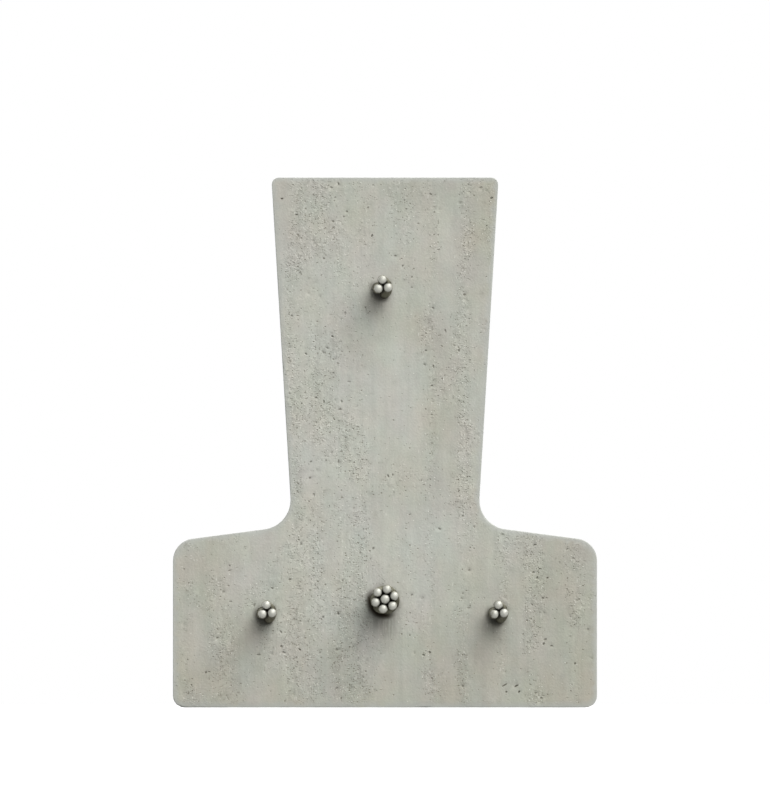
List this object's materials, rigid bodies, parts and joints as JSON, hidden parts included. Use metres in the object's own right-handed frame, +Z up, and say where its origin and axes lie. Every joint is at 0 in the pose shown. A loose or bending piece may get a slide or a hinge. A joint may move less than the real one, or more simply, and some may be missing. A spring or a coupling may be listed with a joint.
{
  "type": "prestressed concrete joist",
  "caption": "Inverted-T prestressed concrete floor joist with twisted wire strands cast in along its length and cut ends standing out.",
  "frame": {"origin": "middle of the joist's flat underside, halfway along it", "axes": "+Y along the joist, +X across its foot, +Z up from the foot through the web; the front end face looks along -Y"},
  "size_m": [0.1, 1.224, 0.125],
  "materials": {
    "concrete": "matte, fine cast concrete with small air pits",
    "strand_steel": "satin drawn wire"
  },
  "bodies": {
    "root": {"concrete_body": "concrete", "left_strand_wire_1": "strand_steel", "left_strand_wire_2": "strand_steel", "left_strand_wire_3": "strand_steel", "right_strand_wire_1": "strand_steel", "right_strand_wire_2": "strand_steel", "right_strand_wire_3": "strand_steel", "top_strand_wire_1": "strand_steel", "top_strand_wire_2": "strand_steel", "top_strand_wire_3": "strand_steel", "middle_strand_wire_1": "strand_steel", "middle_strand_wire_2": "strand_steel", "middle_strand_wire_3": "strand_steel", "middle_strand_wire_4": "strand_steel", "middle_strand_wire_5": "strand_steel", "middle_strand_wire_6": "strand_steel", "middle_strand_king_wire": "strand_steel"}
  },
  "joints": []
}
